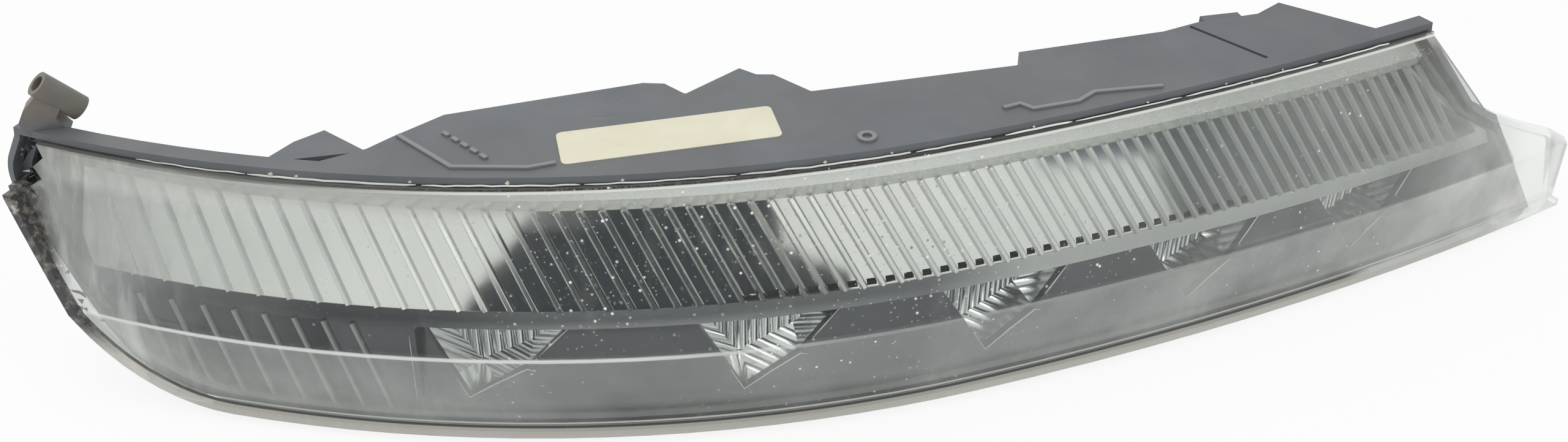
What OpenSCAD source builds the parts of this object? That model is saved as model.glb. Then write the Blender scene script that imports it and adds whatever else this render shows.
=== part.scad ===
// Daytime running light for a front bumper: a long bowed lamp with a clear lens, lying upside down.
// X runs along the labelled face, the lens looks towards -Y and +Z is up. Millimetres.

/* [Bow of the lens] */
// Arc length of the crease from the meeting point of its two arcs to the outboard tip
outboard_len = 264; // [240:1:290]
// Arc length of the crease from that meeting point to the inboard tip
inboard_len = 218; // [200:1:240]
// Radius of the outboard arc
outboard_r = 365; // [330:5:420]
// Radius of the inboard arc
inboard_r = 1013; // [850:1:1300]
// Direction of the crease where both arcs meet, against the X axis
join_angle = 5.5; // [2:0.5:9]
// Place of the meeting point along X
join_x = 16.5; // [0:0.5:30]
// Place of the meeting point along Y
join_y = -40.9; // [-50:0.1:-35]

/* [Lens] */
// Height of the crease line
crease_z = 26.9; // [22:0.1:32]
// Height of the lens at the middle of the lamp
lens_h = 72.5; // [68:0.1:78]
// Slope of the top plane along X, in degrees
top_tilt = 0.73; // [0.5:0.01:0.9]
// How far the face above the crease leans back, per millimetre of height
upper_lean = 0.273; // [0.2:0.001:0.32]
// How far the face below the crease leans back, per millimetre of height
lower_lean = 0.044; // [0:0.001:0.1]
// Wall of the lens
lens_t = 2.4; // [2:0.1:2.8]
// How far the rim along the lower edge stands proud of the face
rim_proud = 2.6; // [1:0.1:4]
// Depth of the skirt that runs back into the housing
skirt_depth = 4.2; // [3.8:0.1:5]

/* [Housing] */
// Wall of the housing
wall = 2.5; // [1.8:0.1:3]
// Thickness of the lip over the lens skirt
lip_t = 1.8; // [1.4:0.1:2.4]
// Gap between lens skirt and lip, filled with sealant
bead_t = 0.5; // [0.3:0.05:0.8]
// Setback of the lip behind the face of the lens
lip_setback = 1.2; // [0.8:0.1:2]
// Height at which the housing steps in behind the labelled face
step_z = 48; // [44:0.5:54]
// Height of the relief on the labelled face
relief_h = 0.7; // [0.3:0.1:1.2]

/* [Ear] */
// Bore of the ear tube
ear_bore_d = 4.2; // [3:0.1:5]
// Wall of the ear tube
ear_wall = 1.3; // [1:0.1:1.8]
// Length of the ear tube
ear_len = 12.5; // [10:0.5:16]
// Thickness of the arm that carries the tube
ear_arm_t = 5; // [4:0.5:6]

/* [Rear boss] */
// Bore of the boss for the inboard fixing screw
boss_bore_d = 4.8; // [3.5:0.1:6]
// Depth of that bore
boss_bore_depth = 10; // [6:0.5:10]
// Outside diameter of the boss
boss_d = 12; // [10:0.5:14]

/* [Trim] */
// Thickness of the metallised trim
trim_t = 1.5; // [1.2:0.1:1.8]
// Height of the top edge of the ribbed band
band_top_z = 60.8; // [57:0.1:63]
// Height of the lower edge of the ribbed band
band_low_z = 36.8; // [35:0.1:40]
// Inset of the band's top edge from the crease
band_top_n = 18.2; // [16.8:0.1:20]
// Inset of the band's lower edge from the crease
band_low_n = 8; // [7.5:0.1:9]
// Height of the ledge strip under the band
ledge_h = 5.8; // [4:0.1:7]
// Depth of the recess under the ledge
recess_depth = 5.5; // [4:0.1:7]
// Inset of the foot of the trim
trim_foot_n = 5.4; // [4.6:0.1:5.8]
// Distance from the outboard tip to the trim's outboard end
trim_start = 18; // [15:1:24]
// Distance from the outboard tip to the first recess
recess_start = 113; // [108:1:118]

/* [Ribs] */
// Distance from the outboard tip to the top of the first rib
rib_start = 23; // [21:0.5:28]
// Pitch at the outboard end
rib_pitch_wide = 10; // [9:0.1:12]
// Pitch far inboard
rib_pitch_close = 4.8; // [4.6:0.05:6]
// Share of the difference between both pitches that is left after each rib
rib_ease = 0.92; // [0.88:0.005:0.94]
// Width of a rib at its foot
rib_w = 2; // [1.6:0.1:2.4]
// Width of a rib at its crest
rib_crest_w = 0.9; // [0.6:0.1:1.2]
// Height of a rib
rib_h = 0.9; // [0.5:0.1:1.2]
// How far a rib runs along the lamp from its top to its foot
rib_run = 12.5; // [8:0.5:14]
// Height of the slots between the feet of the ribs
slot_h = 1.6; // [1:0.1:2.4]

/* [Pockets] */
// Number of lit pockets
pocket_count = 5; // [5:5]
// Distance from the outboard tip to the point of the first pocket
pocket_start = 127; // [125:0.5:131]
// Distance from the point of the last pocket to the inboard tip
pocket_end = 86.6; // [84:0.2:92]
// Each further distance as a share of the one before it
pocket_ease = 0.935; // [0.92:0.005:0.95]
// Width of a pocket outboard of its point
pocket_left_w = 12.5; // [10:0.5:14]
// Width of a pocket inboard of its point
pocket_right_w = 28; // [24:0.5:30]
// Height of the point of a pocket
pocket_point_z = 9.5; // [8.5:0.1:12]
// Wall of a reflector
reflector_t = 1.5; // [1.2:0.1:2]
// Depth of a reflector behind the trim
reflector_depth = 9; // [7:0.5:10]

/* [Electronics] */
// Width of the board that carries the light-emitting diodes
board_w = 9; // [8:0.5:10]
// Thickness of the boards
board_t = 1.6; // [1:0.1:2]
// Side of a light-emitting diode
led_side = 3.5; // [3:0.1:4]
// Height of a light-emitting diode
led_h = 1.1; // [0.8:0.1:1.4]
// Thickness of the heat sink's foot
sink_t = 2; // [1.5:0.1:3]
// Height of the heat sink's fins
fin_h = 8; // [6:0.5:8.5]
// Screw thread of the small screws
screw_d = 2.5; // [2:0.1:3]
// Width of the driver board
driver_w = 38; // [34:1:38]
// Height of the driver board
driver_h = 26; // [22:1:28]

/* [Rear cover] */
// Width of the cover over the driver board
cover_w = 54; // [50:1:55]
// Height of that cover
cover_h = 34; // [30:1:36]
// Depth of that cover
cover_depth = 12; // [10:0.5:14]
// Height of the middle of that cover
cover_z = 25; // [23:0.5:28]
// Inner width of the connector socket
socket_w = 16; // [14:0.5:18]
// Inner height of the connector socket
socket_h = 11; // [8:0.5:12]
// Depth of the connector socket
socket_depth = 14; // [12:0.5:16]
// Length of the pins inside the socket
pin_len = 7; // [4:0.5:7]
// Diameter of the vent cap
vent_d = 12; // [10:0.5:14]

/* [Hidden] */

// Clearance between pieces that seat on each other
seat = 0.3;
// Higher than the lamp, and longer than the lamp
far = 120;
reach = 500;
eps = 0.01;
curve_steps = 9;

top_z = lens_h;
cap_z = top_z + 3.6;
deg_per_mm_out = 180 / (PI * outboard_r);
deg_per_mm_in = 180 / (PI * inboard_r);
join = [join_x, join_y];
join_normal = [-sin(join_angle), cos(join_angle)];
out_centre = join + outboard_r * join_normal;
in_centre = join + inboard_r * join_normal;

// Slope of the rim plane, from the foot of the lens to its top edge
rim_slope = (upper_lean * (top_z - crease_z) - lower_lean * crease_z) / top_z;
lip_n = lower_lean * crease_z + lip_setback;
skirt_n = lip_n + skirt_depth - lip_setback;
floor_n = skirt_n + seat;
lip_out = bead_t + lip_t;
rim_z = lip_out;
floor_t = 1.6;
floor_step = 0.4;
back_n = floor_n + floor_t;

// Rounds to a hundredth of a millimetre, so that both arcs meet in the same section
function snap(x) = round(x * 100) / 100;
// Direction of the crease at arc length s
function turn(s) = join_angle + s * (s < 0 ? deg_per_mm_out : deg_per_mm_in);
function arc_r(s) = s < 0 ? outboard_r : inboard_r;
function arc_centre(s) = s < 0 ? out_centre : in_centre;
// Plan point at arc length s and inset n behind the crease
function plan(s, n) = arc_centre(s) + (arc_r(s) - n) * [sin(turn(s)), -cos(turn(s))];
function snapped(p) = [snap(p[0]), snap(p[1])];
out_tip = snapped(plan(-outboard_len, 0));
in_tip = snapped(plan(inboard_len, 0));
// Inset of the lens face at height z
function face_n(z) = z > crease_z ? (z - crease_z) * upper_lean : (crease_z - z) * lower_lean;
function rim_n(start, z) = start + rim_slope * z;
function arc_points(centre, r, from, to) =
    [for (i = [0:curve_steps]) centre + r * [cos(from + (to - from) * i / curve_steps),
        sin(from + (to - from) * i / curve_steps)]];
// Closed counter-clockwise outline moved inwards by d, with mitred corners
function inset(pts, d) = let (k = len(pts)) [for (i = [0:k - 1])
    let (a = pts[i] - pts[(i + k - 1) % k], b = pts[(i + 1) % k] - pts[i],
        na = [-a[1], a[0]] / norm(a), nb = [-b[1], b[0]] / norm(b))
    pts[i] + d * (na + nb) / (1 + na * nb)];
// Open line thickened by t to its left, with mitred corners
function ribbon(pts, t) = let (k = len(pts)) concat(pts, [for (j = [0:k - 1]) let (i = k - 1 - j,
    a = i > 0 ? pts[i] - pts[i - 1] : pts[1] - pts[0],
    b = i < k - 1 ? pts[i + 1] - pts[i] : a,
    na = [-a[1], a[0]] / norm(a), nb = [-b[1], b[0]] / norm(b))
    pts[i] + t * (na + nb) / (1 + na * nb)]);

// Sweeps a section of [inset, height] points along the bow from arc length s0 to s1
module sweep(section, s0, s1) {
    translate([join_x, join_y, 0]) rotate([0, 0, join_angle]) {
        if (s0 < 0) mirror([1, 0, 0]) sweep_arc(section, outboard_r, max(-s1, 0), -s0);
        if (s1 > 0) sweep_arc(section, inboard_r, max(s0, 0), s1);
    }
}

// Sweeps a section round one arc, from a to b along the crease
module sweep_arc(section, r, a, b) {
    turn_per_mm = 180 / (PI * r);
    translate([0, r, 0])
        rotate_extrude(start = a * turn_per_mm - 90, angle = (b - a) * turn_per_mm, $fn = 720)
            polygon([for (p = section) [r - snap(p[0]), snap(p[1])]]);
}

module sweep_all(section) { sweep(section, -outboard_len - 30, inboard_len + 30); }

// Local frame on the crease at arc length s: X along the bow, Y inwards, Z up
module at_arc(s) {
    p = plan(s, 0);
    translate([p[0], p[1], 0]) rotate([0, 0, turn(s)]) children();
}

// Everything under the tilted top plane, lowered by d
module below_top(d) {
    translate([0, 0, top_z - d]) rotate([0, -top_tilt, 0])
        translate([-reach, -reach, -2 * far]) cube([2 * reach, 2 * reach, 2 * far]);
}

// Level slab between two heights
module slab(z0, z1) {
    translate([-reach, -reach, z0]) cube([2 * reach, 2 * reach, z1 - z0]);
}

// Front-view outline of the outboard end, with x measured from the tip
tip_corner = [36, rim_z];
tip_round_r = 50;
tip_shoulder = [1, 55.5];
side_angle = atan2(tip_shoulder[1] - rim_z, tip_shoulder[0] - tip_corner[0]);
tip_turn = 180 - side_angle;
tip_round_c = tip_corner + [tip_round_r * tan(tip_turn / 2), tip_round_r];
shoulder_top = [4.6, 69];
shoulder_r = 8.4;
shoulder_c = [shoulder_r, 58.5];
shoulder_from = atan2(shoulder_top[1] - shoulder_c[1], shoulder_top[0] - shoulder_c[0])
    + acos(shoulder_r / norm(shoulder_top - shoulder_c));
outboard_outline = concat([[reach, rim_z], [reach, far], [9, far], shoulder_top],
    arc_points(shoulder_c, shoulder_r, shoulder_from, side_angle + 90),
    arc_points(tip_round_c, tip_round_r, side_angle + 90, 270));

// Front-view outlines of the inboard end, with x measured from the tip
inboard_outline = [[-reach, rim_z], [0, rim_z], [-3.6, 25.5], [-6.2, 29], [-24, 36.8], [-43.3, 46.4],
    [-66, 73.5], [-66, far], [-reach, far]];
seal_outline = [[-reach, rim_z], [-11.5, rim_z], [-34, 38.5], [-46, 46], [-68.2, 73], [-68.2, far],
    [-reach, far]];

module end_prism(s, outline) {
    at_arc(s) rotate([90, 0, 0]) linear_extrude(height = 2 * reach, center = true) polygon(outline);
}

function moved(pts, dx) = [for (p = pts) p + [dx, 0]];

// The outboard end, the inboard tip and the sealed inboard end, each drawn in by d and cut square to the bow
out_grip = 16;
in_grip = 30;
outboard_at = -outboard_len + out_grip;
inboard_at = inboard_len - in_grip;
module outboard_end(d) { end_prism(outboard_at, inset(moved(outboard_outline, -out_grip), d)); }
module inboard_tip(d) { end_prism(inboard_at, inset(moved(inboard_outline, in_grip), d)); }
module sealed_end(d) { end_prism(inboard_at, inset(moved(seal_outline, in_grip), d)); }

// Section behind the face of the lens, drawn in by d and reaching back to the plane at to_n
function face_section(d, to_n) = let (u = d * sqrt(1 + upper_lean * upper_lean),
    l = d * sqrt(1 + lower_lean * lower_lean), dz = (l - u) / (upper_lean + lower_lean),
    zc = crease_z + dz, nc = u + dz * upper_lean)
    [[nc + zc * lower_lean, 0], [nc, zc], [nc + (cap_z - zc) * upper_lean, cap_z],
        [rim_n(to_n, cap_z), cap_z], [rim_n(to_n, 0), 0]];

module lens_block(d, to_n) {
    intersection() {
        sweep_all(face_section(d, to_n));
        below_top(d);
        outboard_end(d);
        inboard_tip(d);
    }
}

// Jagged corner that is broken off the outboard end
break_points = [[-14, 90], [12.2, 90], [10.8, 70], [13, 66.5], [9.4, 63.5], [12.2, 60.6], [8, 58.2],
    [9.6, 56.4], [3.5, 57.6], [-2, 55.9], [-14, 58]];

module broken_corner() {
    end_prism(outboard_at, moved(break_points, -out_grip));
}

// Section of a plate along the rim plane, from one distance behind the crease to another
function plate_section(from_n, to_n) =
    [[from_n, 0], [rim_n(from_n, far), far], [rim_n(to_n, far), far], [to_n, 0]];

module lens() {
    color([0.86, 0.89, 0.88, 0.45]) difference() {
        intersection() {
            union() {
                sweep_all(face_section(0, lip_n - seat));
                lower_rim();
                intersection() {
                    sweep_all(plate_section(lip_n - 2 * seat, skirt_n));
                    sealed_end(0);
                }
            }
            below_top(0);
            outboard_end(0);
            inboard_tip(0);
        }
        difference() {
            lens_block(lens_t, far);
            difference() {
                sealed_end(0);
                sealed_end(lens_t);
            }
        }
        broken_corner();
    }
}

// Proud rim along the lower edge and round the outboard corner
module lower_rim() {
    intersection() {
        sweep_all([[face_n(0) - rim_proud, 0], [-rim_proud, crease_z], [face_n(far) - rim_proud, far],
            [face_n(far) + seat, far], [seat, crease_z], [face_n(0) + seat, 0]]);
        difference() {
            slab(0, tip_shoulder[1]);
            outboard_end(lens_t);
        }
    }
}

// Rear outlines of the labelled face and of the deeper body under it, inboard end first.
// Their ends keep their place to the tips of the bow, and the notch between them holds the rear cover.
notch_x0 = -18.2;
notch_x1 = 39.9;
notch_y = 4;
end_over = 10;
front_edge = [[out_tip[0] - end_over, -far], [in_tip[0] + end_over, -far]];
upper_outline = concat(front_edge, [in_tip + [end_over, 17], in_tip + [-49.6, 1], in_tip + [-71.6, -7.2],
    in_tip + [-82.9, -6], [126.3, 21], [117, 16], [97.8, 15.3], [86.1, 12.5], [42.2, 11], [notch_x1, notch_y],
    [notch_x0, notch_y], [-51.7, 11.2], [-55.9, 17.7], [-61.5, 19.5], [-114.3, 15.5], [-127.7, 7.5],
    [-134, 3.2], [-146, 0], out_tip + [29.7, -8.9], out_tip + [-end_over, 3.9]]);
lower_outline = concat(front_edge, [in_tip + [end_over, 24], in_tip + [-3.6, 21], in_tip + [-24.6, 19],
    in_tip + [-49.6, 18], [126.3, 21], [86, 14], [42.2, 12.5], [notch_x1, notch_y], [notch_x0, notch_y],
    [-51.7, 11.2], [-57, 18.7], [-114, 16], [-150, 16], out_tip + [32.7, -2.9], out_tip + [-end_over, 18.6]]);

// Hip along the back of the bow that makes room for the trim, drawn in by d
hip_sum = 90.3;
hip_n = 25;
function hip_top(d) = (hip_sum - d * sqrt(2) - back_n) / (1 + rim_slope);
function hip_section(d, start_n) = [[start_n, 0], [rim_n(start_n, hip_top(d)), hip_top(d)],
    [rim_n(back_n, hip_top(d)) + 0.1, hip_top(d)],
    [hip_n - d, hip_sum - d * sqrt(2) - hip_n + d], [hip_n - d, 0]];

// Room behind the plane at start_n inside the rear outline, drawn in by d
module rear_prisms(d, start_n) {
    intersection() {
        sweep_all([[start_n, 0], [rim_n(start_n, far), far], [far, far], [far, 0]]);
        union() {
            linear_extrude(height = step_z - d) polygon(inset(lower_outline, d));
            linear_extrude(height = far) polygon(inset(upper_outline, d));
        }
    }
}

// Solid of the whole body: drawn in by d from its walls and starting at the plane start_n
module body_block(d, start_n) {
    intersection() {
        union() {
            sweep_all(hip_section(d, start_n));
            rear_prisms(d, start_n);
        }
        slab(d, far);
        below_top(d - lip_out);
        outboard_end(d - lip_out);
        sealed_end(d - lip_out);
    }
}

// Strip over the lens skirt and the floor behind it
module rim_strip() {
    intersection() {
        sweep_all(plate_section(lip_n, back_n));
        slab(0, far);
        below_top(-lip_out);
        outboard_end(-lip_out);
        sealed_end(-lip_out);
    }
}

// Room for the lens skirt and its sealant
module channel() {
    intersection() {
        sweep_all([[-far / 4, 0], [far / 4, far], [rim_n(floor_n, far), far], [rim_n(floor_n, 0), 0]]);
        below_top(-bead_t);
        slab(lip_t, far);
        outboard_end(-bead_t);
        sealed_end(-bead_t);
    }
}

// Opening from the channel into the body, inside the floor that the skirt butts against
mouth_edge = lens_t + floor_step;
module mouth() {
    intersection() {
        sweep_all(plate_section(floor_n - 1, back_n + wall / 2));
        body_block(wall, floor_n - 2);
        below_top(mouth_edge);
        slab(rim_z + mouth_edge, far);
        outboard_end(mouth_edge);
        sealed_end(mouth_edge);
    }
}

module housing() {
    color([0.13, 0.13, 0.15]) {
        difference() {
            union() {
                body_block(0, lip_n);
                rim_strip();
                gussets();
                relief();
                rear_boss();
            }
            on_face(relief_h, 1) polygon(ribbon(groove_line, relief_w));
            channel();
            mouth();
            difference() {
                body_block(wall, back_n);
                screw_posts();
            }
            rear_holes();
        }
        ear();
    }
}

// Flat shape on the labelled face, sunk into it by depth and standing proud of it
module on_face(depth, proud) {
    intersection() {
        linear_extrude(height = far) children();
        difference() {
            below_top(-lip_out - proud);
            below_top(depth - lip_out);
        }
    }
}

fin_outline = [[-160, 3], [-152, 11.2], [-144.5, 15.2], [-134, 2]];
fin_depth = 9;
hook_outline = [[-52, 10.5], [-34.7, 21.1], [-30.9, 16.6], [-26.4, 15.4], [-18, 3]];
module gussets() {
    on_face(fin_depth, 0) polygon(fin_outline);
    on_face(wall, 0) polygon(hook_outline);
}

// Raised lines, dashes and ring of the labelled face, and its slanted groove
relief_w = 1.2;
relief_lines = [[[-126.6, 7], [-114, -11.7], [-95.3, -16.7], [-88.3, -16.1]],
    [[27.6, -17.9], [32.1, -17], [34.5, -20.2], [47.7, -19.4], [53.6, -15.9], [72.2, -17.3]]];
dash_from = [-115.3, 5.6];
dash_to = [-104.5, -10.9];
dash_count = 5;
dash_share = 0.6;
ring_at = [-10.7, -22.4];
ring_d = 5;
groove_line = [[94.1, 13.2], [106.2, -9.1]];
module relief() {
    on_face(wall / 2, relief_h) {
        for (line = relief_lines) polygon(ribbon(line, relief_w));
        for (i = [0:dash_count - 1]) let (step = (dash_to - dash_from) / dash_count)
            polygon(ribbon([dash_from + i * step, dash_from + (i + dash_share) * step], relief_w));
        translate(ring_at) difference() {
            circle(d = ring_d, $fn = 48);
            circle(d = ring_d - 2 * relief_w, $fn = 48);
        }
    }
}

// Tube of the ear and the bent arm under it
ear_foot = [out_tip[0] + 19.2, out_tip[1] + 7.6, top_z + 12.1];
ear_head = [out_tip[0] + 26.5, out_tip[1] + 10.1, top_z + 2.9];
ear_mid = (ear_foot + ear_head) / 2;
ear_dir = (ear_head - ear_foot) / norm(ear_head - ear_foot);
module along_ear() {
    translate(ear_mid) rotate([0, acos(ear_dir[2]), atan2(ear_dir[1], ear_dir[0])]) children();
}

ear_arm_y = out_tip[1] + 8.6;
arm_outline = [[13.7, -1.5], [12.1, 2], [14.1, 5.5], [18.2, 9.5], [23.5, 5.9], [21.3, 2.5], [23.7, -1.5]];
module ear() {
    difference() {
        union() {
            along_ear() cylinder(d = ear_bore_d + 2 * ear_wall, h = ear_len, center = true, $fn = 48);
            translate([out_tip[0], ear_arm_y + ear_arm_t / 2, top_z]) rotate([90, 0, 0])
                linear_extrude(height = ear_arm_t) polygon(arm_outline);
        }
        along_ear() cylinder(d = ear_bore_d, h = ear_len + far / 4, center = true, $fn = 48);
    }
}

boss_at = [110.5, 26, 66];
boss_root_y = 10;
module rear_boss() {
    difference() {
        translate([boss_at[0] - boss_d / 2, boss_root_y, boss_at[2] - boss_d / 2])
            cube([boss_d, boss_at[1] - boss_root_y, boss_d]);
        translate(boss_at) rotate([90, 0, 0]) cylinder(d = boss_bore_d, h = boss_bore_depth, $fn = 48);
    }
}

// Holes in the rear wall: the pilot holes of the cover screws, the cable passage and the vent
module rear_holes() {
    for (p = cover_screw_places) translate([p[0], notch_y - screw_len, p[1]]) rotate([-90, 0, 0])
        cylinder(d = screw_d, h = screw_len + 1, $fn = 32);
    translate([cover_x - passage_w / 2, notch_y - 2 * wall, cover_z - passage_h / 2])
        cube([passage_w, 3 * wall, passage_h]);
    at_vent() translate([0, 0, -2 * wall]) cylinder(d = vent_hole_d, h = 3 * wall, $fn = 32);
}

module screw_posts() {
    for (p = cover_screw_places) translate([p[0], notch_y - wall - post_len, p[1]]) rotate([-90, 0, 0])
        cylinder(d = 2.4 * screw_d, h = post_len + wall / 2, $fn = 32);
}

module sealant_bead() {
    color([0.06, 0.06, 0.06]) difference() {
        intersection() {
            channel();
            sweep_all(plate_section(lip_n - seat / 2, far));
        }
        intersection() {
            lens_block(0, skirt_n);
            sealed_end(0);
        }
        mouth();
        broken_corner();
    }
}

// Trim lines as [inset, height] points, from the top edge down to the foot
trim_edge = mouth_edge + seat;
ledge_z = band_low_z - ledge_h;
knee_z = 66.5;
rim_front = floor_n - seat - 1.05 * trim_t;
trim_foot = [trim_foot_n, rim_z + trim_edge];
trim_back = [rim_n(back_n + 1, trim_foot[1]), trim_foot[1]];
recess_corner = [band_low_n + recess_depth, ledge_z];
band_line = [[rim_n(rim_front, 80), 80], [rim_n(rim_front, knee_z), knee_z], [band_top_n, band_top_z],
    [band_low_n, band_low_z], [band_low_n, ledge_z]];
plain_line = concat(band_line, [trim_foot, trim_back]);
recess_line = concat(band_line, [recess_corner, trim_foot, trim_back]);
trim_s0 = -outboard_len + trim_start;
recess_s = -outboard_len + recess_start;
panel_lean = (recess_corner[0] - trim_foot[0]) / (recess_corner[1] - trim_foot[1]);
function panel_n(z) = trim_foot[0] + (z - trim_foot[1]) * panel_lean;

// Arc length of the top of rib i
rib_ratio_sum = 1 / (1 - rib_ease);
function rib_s(i) = -outboard_len + rib_start + i * rib_pitch_close
    + (rib_pitch_wide - rib_pitch_close) * (1 - pow(rib_ease, i)) * rib_ratio_sum;
rib_end = 59;
rib_last_s = inboard_len - rib_end;
rib_numbers = [for (i = [0:120]) if (rib_s(i) < rib_last_s) i];

// A rib from one point of a face to another, both given as [along, inset, height] in a local frame
module rib(from, to) {
    run = to - from;
    along = run / norm(run);
    slope = [0, run[1], run[2]] / norm([0, run[1], run[2]]);
    out = cross(slope, [1, 0, 0]);
    side = cross(out, along);
    multmatrix([[side[0], out[0], along[0], from[0]], [side[1], out[1], along[1], from[1]],
        [side[2], out[2], along[2], from[2]], [0, 0, 0, 1]])
        linear_extrude(height = norm(run)) polygon([[-rib_w / 2, -0.5], [rib_w / 2, -0.5], [rib_w / 2, 0],
            [rib_crest_w / 2, rib_h], [-rib_crest_w / 2, rib_h], [-rib_w / 2, 0]]);
}

module band_ribs() {
    for (i = rib_numbers) at_arc(rib_s(i) + rib_run / 2)
        rib([-rib_run / 2, band_top_n, band_top_z], [rib_run / 2, band_low_n, band_low_z]);
}

// Ribs on the plain face under the band, outboard of the first recess
lower_run = 8;
module lower_ribs() {
    for (i = rib_numbers) if (rib_s(i) + rib_run + lower_run < recess_s - rib_w)
        at_arc(rib_s(i) + rib_run + lower_run / 2)
            rib([-lower_run / 2, band_low_n, ledge_z], [lower_run / 2, trim_foot[0], trim_foot[1]]);
}

// Arc length of the point of pocket k, counted from 0
pocket_run = inboard_len - pocket_end + outboard_len - pocket_start;
function pocket_s(k) = -outboard_len + pocket_start
    + pocket_run * (1 - pow(pocket_ease, k)) / (1 - pow(pocket_ease, pocket_count - 1));

// Slots between the feet of the ribs over the middle pockets
slot_from_s = pocket_s(1);
slot_to_s = pocket_s(3) + 0.6 * pocket_right_w;
module slots() {
    for (i = rib_numbers) {
        foot = (rib_s(i) + rib_s(i + 1)) / 2 + rib_run;
        gap = rib_s(i + 1) - rib_s(i) - rib_w;
        if (foot > slot_from_s && foot < slot_to_s) at_arc(foot - 0.4)
            translate([-gap / 2 + 0.3, band_low_n - 2 * trim_t, band_low_z + 0.5])
                cube([gap - 0.6, 4 * trim_t, slot_h]);
    }
}

window_gap = 1.5;
window_top_z = ledge_z - window_gap;
window = [[-pocket_left_w, window_top_z], [-0.45 * pocket_left_w, 18.5], [0, pocket_point_z],
    [0.55 * pocket_right_w, 17.5], [pocket_right_w, window_top_z]];
module upright_prism(outline, n0, n1) {
    translate([0, n1, 0]) rotate([90, 0, 0]) linear_extrude(height = n1 - n0) polygon(outline);
}

module trim_ends() {
    intersection() {
        children();
        below_top(trim_edge);
        outboard_end(trim_edge);
        sealed_end(trim_edge);
    }
}

module trim_shell() {
    sweep(ribbon(plain_line, trim_t), trim_s0, recess_s);
    sweep(ribbon(recess_line, trim_t), recess_s, inboard_len + 20);
    sweep([band_line[4], trim_foot, trim_foot + [2 * trim_t, 0], recess_corner + [trim_t, 0]],
        recess_s - trim_t, recess_s + trim_t);
}

module trim_bezel() {
    color([0.72, 0.74, 0.75]) {
        difference() {
            trim_ends() trim_shell();
            slots();
            for (k = [0:pocket_count - 1]) at_arc(pocket_s(k)) upright_prism(window, 0, recess_corner[0] + 1);
        }
        trim_ends() {
            band_ribs();
            lower_ribs();
        }
    }
}

// Reflector of one pocket: a cup behind the window, with upright flutes on its back wall
refl_front = trim_t * 1.06 + seat;
refl_back = recess_corner[0] + trim_t + seat + reflector_depth;
cup_n = refl_back - reflector_t;
board_z = window_top_z + reflector_t + led_h + 1;
board_n = recess_corner[0] + trim_t + 1.2;
led_n = board_n + board_w / 2;
led_x = 5;
post_x = 0.7 * pocket_right_w;
post_r = 1.3 * screw_d;
flute_r = 2.2;
flute_h = 0.9;
flute_x0 = -8;
flute_pitch = 3.1;
module behind_panel(gap, back) {
    sweep_all([[panel_n(0) + gap, 0], [panel_n(board_z) + gap, board_z], [back, board_z], [back, 0]]);
}

module reflector(k) {
    color([0.8, 0.81, 0.8]) difference() {
        union() {
            intersection() {
                at_arc(pocket_s(k)) upright_prism(inset(window, -reflector_t), 0, refl_back + 3);
                behind_panel(refl_front, refl_back);
            }
            at_arc(pocket_s(k)) translate([post_x, led_n, window_top_z])
                cylinder(r = post_r, h = board_z - window_top_z, $fn = 32);
        }
        difference() {
            intersection() {
                at_arc(pocket_s(k)) upright_prism(window, 0, refl_back);
                sweep_all([[0, 0], [0, board_z], [cup_n, board_z], [cup_n, 0]]);
            }
            at_arc(pocket_s(k)) for (x = [flute_x0:flute_pitch:pocket_right_w])
                translate([x, cup_n + flute_r - flute_h, 0]) cylinder(r = flute_r, h = board_z, $fn = 48);
        }
        at_arc(pocket_s(k)) {
            translate([led_x, led_n, window_top_z - 1]) cylinder(d = 1.6 * led_side, h = 4, $fn = 32);
            translate([post_x, led_n, board_z - screw_grip]) cylinder(d = screw_d, h = 10, $fn = 32);
        }
    }
}

module led(k) {
    color([0.9, 0.87, 0.6]) at_arc(pocket_s(k)) translate([led_x, led_n, board_z]) {
        translate([-led_side / 2, -led_side / 2, -0.5 * led_h]) cube([led_side, led_side, 0.5 * led_h]);
        translate([0, 0, -led_h]) cylinder(d = 0.8 * led_side, h = led_h, $fn = 32);
    }
}

strip_s0 = pocket_s(0) - pocket_left_w;
strip_s1 = pocket_s(pocket_count - 1) + pocket_right_w;
module strip(n0, n1, z0, z1) { sweep([[n0, z0], [n1, z0], [n1, z1], [n0, z1]], strip_s0, strip_s1); }
module screw_shafts(d, h) {
    for (k = [0:pocket_count - 1]) at_arc(pocket_s(k)) translate([post_x, led_n, board_z - screw_grip])
        cylinder(d = d, h = h, $fn = 32);
}

// The board's screws clamp the heat sink and the board to the reflectors
screw_grip = 4;
screw_gap = 0.4;
head_h = 1.6;
sink_z = board_z + board_t;
fin_t = 1.2;
module led_board() {
    color([0.9, 0.9, 0.88]) difference() {
        strip(board_n, board_n + board_w, board_z, sink_z);
        screw_shafts(screw_d + screw_gap, sink_z + fin_h);
    }
}

module heat_sink() {
    color([0.66, 0.68, 0.7]) difference() {
        union() {
            strip(board_n, board_n + board_w, sink_z, sink_z + sink_t);
            for (n = [board_n + 0.2, board_n + board_w - fin_t])
                strip(n, n + fin_t, sink_z, sink_z + sink_t + fin_h);
        }
        screw_shafts(screw_d + screw_gap, sink_z + fin_h);
    }
}

module board_screws() {
    color([0.6, 0.6, 0.62]) {
        screw_shafts(screw_d, screw_grip + board_t + sink_t + head_h);
        for (k = [0:pocket_count - 1]) at_arc(pocket_s(k)) translate([post_x, led_n, sink_z + sink_t])
            cylinder(d = 1.8 * screw_d, h = head_h, $fn = 32);
    }
}

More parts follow.
